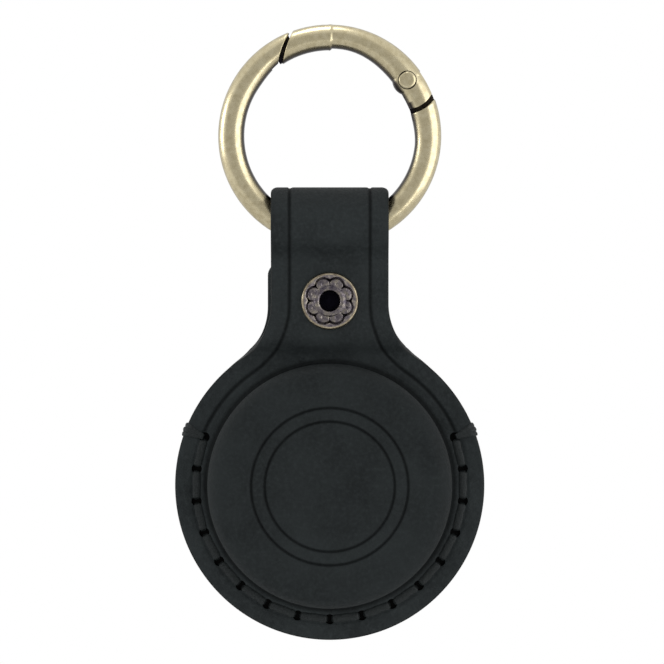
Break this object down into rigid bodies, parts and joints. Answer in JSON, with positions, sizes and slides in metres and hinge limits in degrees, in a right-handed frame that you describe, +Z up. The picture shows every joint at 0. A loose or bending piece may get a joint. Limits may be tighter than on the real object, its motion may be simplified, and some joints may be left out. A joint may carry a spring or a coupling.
{
  "type": "tracker tag holder",
  "caption": "Round moulded leather holder for a coin-shaped tag, stitched round the bottom, with a press-stud flap at the back and a strap folded over a sprung gate ring.",
  "frame": {"origin": "centre of the ring, in the plane of its bar", "axes": "+Z up with the holder hanging from its ring, -Y is the front with the moulded pocket and flower eyelet, +X to the right seen from the front"},
  "size_m": [0.045, 0.0142, 0.0895],
  "materials": {
    "ring_brass": "antique, brushed and slightly worn",
    "pin_steel": "satin",
    "spring_steel": "bright drawn wire",
    "leather": "fine grain, matt, charcoal",
    "thread": "waxed flat thread",
    "snap_pewter": "aged pewter over brass",
    "snap_brass": "dull nickel and brass"
  },
  "bodies": {
    "ring": {"ring_body": "ring_brass"},
    "gate": {"ring_gate": "ring_brass", "gate_pin": "pin_steel", "gate_spring": "spring_steel", "spring_plunger": "pin_steel"},
    "case": {"front_panel": "leather", "rear_panel": "leather", "stitching": "thread", "snap_eyelet": "snap_pewter", "snap_stud": "snap_brass"},
    "flap": {"rear_flap": "leather", "snap_socket": "snap_brass", "snap_spring": "spring_steel", "snap_cap": "snap_pewter"}
  },
  "joints": [
    {"name": "gate_hinge", "type": "hinge", "parent": "ring", "child": "gate", "pos_m": [0.01127, 0, 0.00807], "axis": [0, -1, 0], "range_deg": [0, 25], "stiffness_Nm_per_rad": 0.004, "springref_deg": -28.65},
    {"name": "strap_swing", "type": "hinge", "parent": "ring", "child": "case", "pos_m": [0, 0, -0.01266], "axis": [1, 0, 0], "range_deg": [-80, 80]},
    {"name": "flap_bend", "type": "hinge", "parent": "case", "child": "flap", "pos_m": [0, 0.00215, -0.0414], "axis": [-1, 0, 0], "range_deg": [0, 60]}
  ]
}
